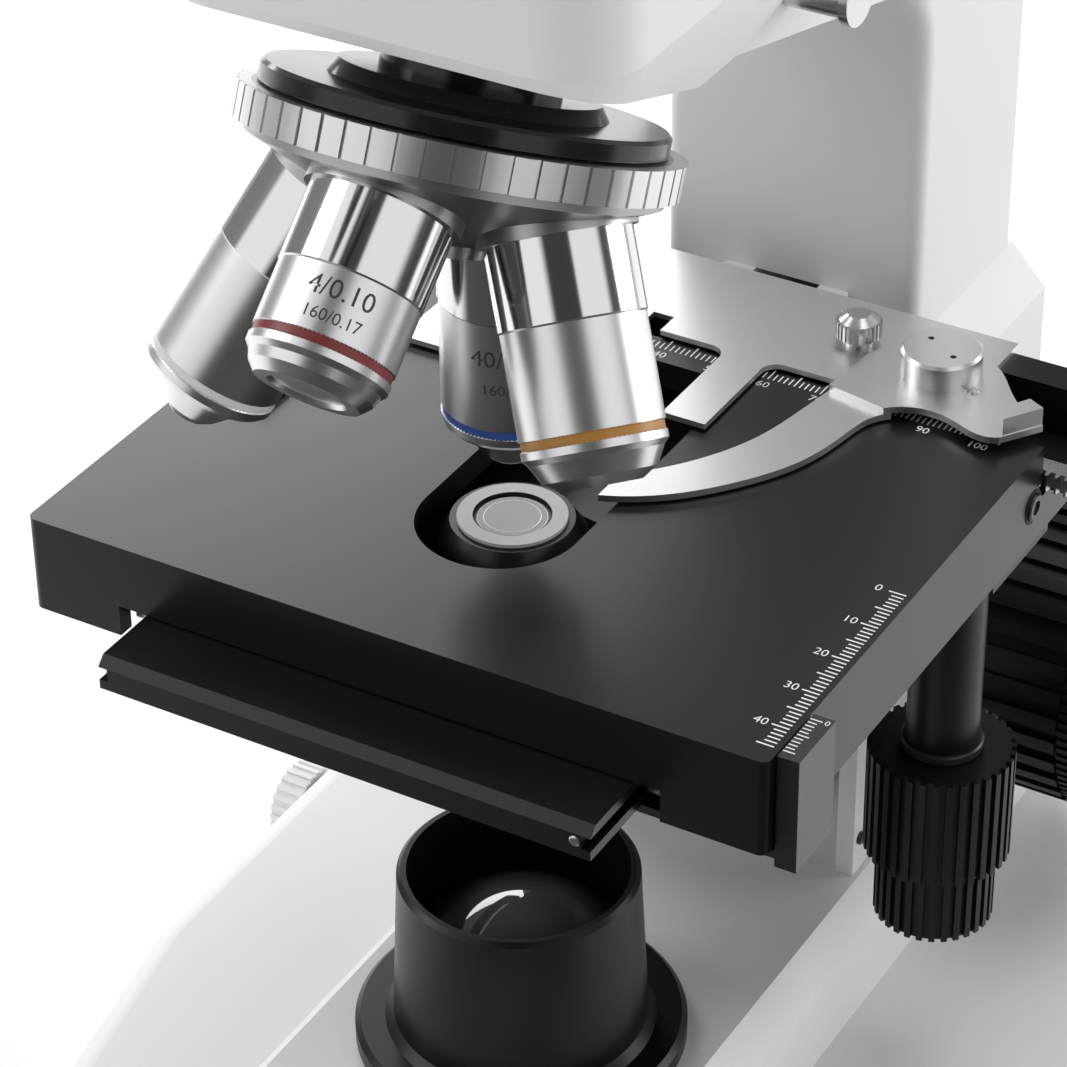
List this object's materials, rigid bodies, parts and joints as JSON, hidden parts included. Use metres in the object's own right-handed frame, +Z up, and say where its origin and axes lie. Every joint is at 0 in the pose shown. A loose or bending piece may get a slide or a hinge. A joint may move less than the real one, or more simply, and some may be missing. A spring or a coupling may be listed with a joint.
{
  "type": "trinocular microscope",
  "caption": "Trinocular bench microscope with tilted objective turret, black mechanical stage, slide holder with sprung finger, condenser, field lens and white stand.",
  "frame": {"origin": "under the optical axis of the objective in use, on the table", "axes": "+Z up along the optical axis, -Y towards the person using it, +X to that person's right"},
  "size_m": [0.1903, 0.2886, 0.4079],
  "materials": {
    "enamel": "satin",
    "black_paint": "satin",
    "black_anodised": "satin",
    "satin_metal": "satin",
    "steel": "satin",
    "plate_steel": "satin",
    "chrome": "polished",
    "black_plastic": "matte",
    "knob_plastic": "satin",
    "rubber": "matte",
    "glass": "polished",
    "filter": "polished"
  },
  "bodies": {
    "frame": {"base_casting": "enamel", "base_plate": "plate_steel", "rubber_feet": "rubber", "field_lens_housing": "black_paint", "field_lens": "glass", "lamp_module": "black_plastic", "power_inlet": "black_plastic", "arm": "enamel", "nosepiece_base": "black_paint"},
    "switch": {"power_switch": "black_plastic"},
    "dial": {"brightness_dial": "knob_plastic"},
    "lock_screw": {"head_lock_screw": "satin_metal"},
    "carriage": {"stage_carriage": "black_anodised", "focus_rack": "steel", "lower_stage_plate": "black_anodised", "y_rack": "steel", "vernier_bracket": "black_anodised"},
    "coarse": {"coarse_shaft": "steel", "coarse_knob_left": "knob_plastic", "coarse_knob_right": "knob_plastic"},
    "fine": {"fine_shaft": "steel", "fine_knob_left": "knob_plastic", "fine_knob_right": "knob_plastic"},
    "tension": {"tension_ring": "knob_plastic"},
    "table": {"top_stage_plate": "black_anodised", "stage_guide_rails": "steel", "stage_control_sleeve": "black_anodised"},
    "y_drive": {"y_knob": "knob_plastic"},
    "x_drive": {"x_knob": "knob_plastic", "x_shaft": "steel"},
    "holder": {"x_rail": "black_anodised", "x_rack": "steel", "slide_holder_plate": "satin_metal", "holder_thumb_screws": "steel", "pivot_drum": "satin_metal"},
    "lever": {"finger_lever": "satin_metal"},
    "turret": {"turret": "satin_metal", "turret_grip_ring": "satin_metal", "objective_4x": "chrome", "objective_10x": "chrome", "objective_40x": "chrome", "objective_100x": "chrome"},
    "nose_40x": {"objective_40x_nose": "black_anodised"},
    "nose_100x": {"objective_100x_nose": "chrome"},
    "condenser": {"condenser_carrier": "black_anodised", "condenser_body": "black_anodised", "condenser_lens": "glass"},
    "iris": {"iris_lever": "black_anodised"},
    "filter": {"filter_holder": "black_anodised", "filter_glass": "filter"},
    "condenser_drive": {"condenser_knob": "knob_plastic"},
    "head": {"head_housing": "enamel", "photo_tube": "enamel", "photo_tube_cap": "black_plastic"},
    "eye_left": {"eyepiece_arm_left": "enamel", "eyepiece_left": "black_plastic"},
    "eye_right": {"eyepiece_arm_right": "enamel", "eyepiece_right": "black_plastic"},
    "diopter": {"diopter_ring": "knob_plastic"},
    "rod": {"light_path_rod": "knob_plastic"}
  },
  "joints": [
    {"name": "focus_slide", "type": "slide", "parent": "frame", "child": "carriage", "axis": [0, 0, 1], "range_m": [-0.015, 0.008]},
    {"name": "coarse_turn", "type": "hinge", "parent": "frame", "child": "coarse", "pos_m": [0, 0.117, 0.078], "axis": [1, 0, 0], "range_deg": [-72.5, 135.5]},
    {"name": "fine_turn", "type": "hinge", "parent": "coarse", "child": "fine", "pos_m": [0, 0.117, 0.078], "axis": [1, 0, 0], "continuous": true},
    {"name": "tension_turn", "type": "hinge", "parent": "frame", "child": "tension", "pos_m": [0.033, 0.117, 0.078], "axis": [1, 0, 0], "range_deg": [0, 90]},
    {"name": "condenser_slide", "type": "slide", "parent": "carriage", "child": "condenser", "axis": [0, 0, 1], "range_m": [-0.014, 0]},
    {"name": "condenser_turn", "type": "hinge", "parent": "condenser", "child": "condenser_drive", "pos_m": [-0.027, 0.075, 0.114], "axis": [1, 0, 0], "range_deg": [-160.6, 0]},
    {"name": "iris_turn", "type": "hinge", "parent": "condenser", "child": "iris", "pos_m": [0, 0, 0.1365], "axis": [0, 0, 1], "range_deg": [-35, 35]},
    {"name": "filter_swing", "type": "hinge", "parent": "condenser", "child": "filter", "pos_m": [-0.0105, 0.01819, 0.119], "axis": [0, 0, -1], "range_deg": [0, 90]},
    {"name": "stage_y", "type": "slide", "parent": "carriage", "child": "table", "axis": [0, 1, 0], "range_m": [-0.036, 0.005]},
    {"name": "y_turn", "type": "hinge", "parent": "table", "child": "y_drive", "pos_m": [0.0547, 0.0533, 0.09], "axis": [0, 0, 1], "range_deg": [-307, 43]},
    {"name": "holder_x", "type": "slide", "parent": "table", "child": "holder", "axis": [1, 0, 0], "range_m": [-0.03, 0.042]},
    {"name": "x_turn", "type": "hinge", "parent": "table", "child": "x_drive", "pos_m": [0.0547, 0.0533, 0.07], "axis": [0, 0, 1], "range_deg": [-358.5, 256]},
    {"name": "lever_swing", "type": "hinge", "parent": "holder", "child": "lever", "pos_m": [0.0441, 0.0683, 0.1622], "axis": [0, 0, 1], "range_deg": [0, 25], "stiffness_Nm_per_rad": 0.08, "springref_deg": -14.32},
    {"name": "turret_spin", "type": "hinge", "parent": "frame", "child": "turret", "pos_m": [0, 0, 0.264], "axis": [0, -0.4067, -0.9135], "continuous": true},
    {"name": "nose_40x_slide", "type": "slide", "parent": "turret", "child": "nose_40x", "axis": [0, 0, 1], "range_m": [0, 0.0015], "stiffness_N_per_m": 1000, "springref_m": -0.001},
    {"name": "nose_100x_slide", "type": "slide", "parent": "turret", "child": "nose_100x", "axis": [0.4067, 0.3716, 0.8346], "range_m": [0, 0.0015], "stiffness_N_per_m": 1000, "springref_m": -0.001},
    {"name": "head_turn", "type": "hinge", "parent": "frame", "child": "head", "pos_m": [0, 0, 0.292], "axis": [0, 0, 1], "continuous": true},
    {"name": "lock_turn", "type": "hinge", "parent": "frame", "child": "lock_screw", "pos_m": [0.0314, 0.045, 0.241], "axis": [1, 0, 0], "range_deg": [0, 180]},
    {"name": "eye_right_swing", "type": "hinge", "parent": "head", "child": "eye_right", "pos_m": [0, -0.04, 0.325], "axis": [0, -0.866, 0.5], "range_deg": [-20, 20]},
    {"name": "eye_left_swing", "type": "hinge", "parent": "head", "child": "eye_left", "pos_m": [0, -0.04, 0.325], "axis": [0, -0.866, 0.5], "range_deg": [-20, 20]},
    {"name": "diopter_turn", "type": "hinge", "parent": "eye_left", "child": "diopter", "pos_m": [-0.03524, -0.1059, 0.37786], "axis": [0, -0.866, 0.5], "range_deg": [-90, 90]},
    {"name": "rod_slide", "type": "slide", "parent": "head", "child": "rod", "axis": [1, 0, 0], "range_m": [0, 0.012]},
    {"name": "switch_rock", "type": "hinge", "parent": "frame", "child": "switch", "pos_m": [0.044, 0.142, 0.017], "axis": [1, 0, 0], "range_deg": [0, 16]},
    {"name": "dial_turn", "type": "hinge", "parent": "frame", "child": "dial", "pos_m": [-0.0933, 0.07, 0.017], "axis": [1, 0, 0], "range_deg": [0, 270]}
  ],
  "couplings": [
    {"joint": "coarse_turn", "follows": "focus_slide", "rad_per_m": -157.08},
    {"joint": "condenser_turn", "follows": "condenser_slide", "rad_per_m": 200},
    {"joint": "y_turn", "follows": "stage_y", "rad_per_m": 148.75},
    {"joint": "x_turn", "follows": "holder_x", "rad_per_m": -148.75},
    {"joint": "eye_left_swing", "follows": "eye_right_swing", "ratio": -1}
  ]
}
